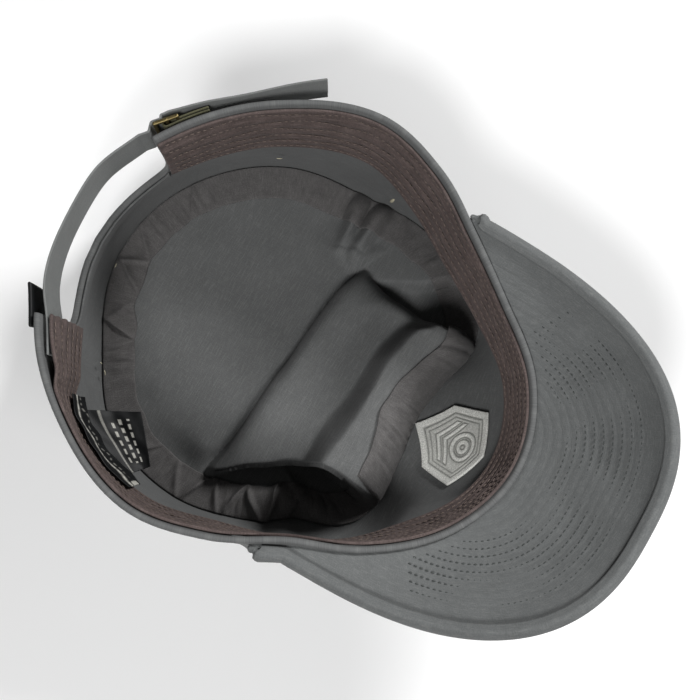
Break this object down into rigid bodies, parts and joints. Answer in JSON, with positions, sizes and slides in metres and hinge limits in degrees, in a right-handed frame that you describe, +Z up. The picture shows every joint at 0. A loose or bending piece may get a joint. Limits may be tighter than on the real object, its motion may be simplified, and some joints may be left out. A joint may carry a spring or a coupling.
{
  "type": "patrol cap",
  "caption": "Soft cloth patrol cap lying upside down: flat-topped crown, stiff curved peak, inner sweatband and a rear gap closed by a buckled strap.",
  "frame": {"origin": "on the floor under the middle of the cap's bounding box, the cap upside down on its flat top panel", "axes": "+Z up from the floor to the open mouth, -Y towards the peak, +X towards the buckle's side"},
  "size_m": [0.1826, 0.252, 0.1021],
  "materials": {
    "cloth": "plain ripstop cotton weave, grey",
    "peak_cloth": "cotton cloth with concentric stitching, grey",
    "binding_tape": "twill tape, brown grey",
    "sweatband_tape": "ribbed cotton band, brown",
    "loop_tape": "narrow tape, olive",
    "label": "woven label, black",
    "patch": "embroidered patch, silver grey",
    "brass": "dull aged brass"
  },
  "bodies": {
    "root": {"crown_side": "cloth", "crown_top": "cloth", "seam_tape": "binding_tape", "sweatband": "sweatband_tape", "gap_facing": "cloth", "peak": "peak_cloth", "peak_binding": "peak_cloth", "back_strap": "cloth", "buckle_loop": "loop_tape", "buckle_frame": "brass", "woven_label": "label", "care_label": "label", "front_patch": "patch", "side_tab": "label"}
  },
  "joints": []
}
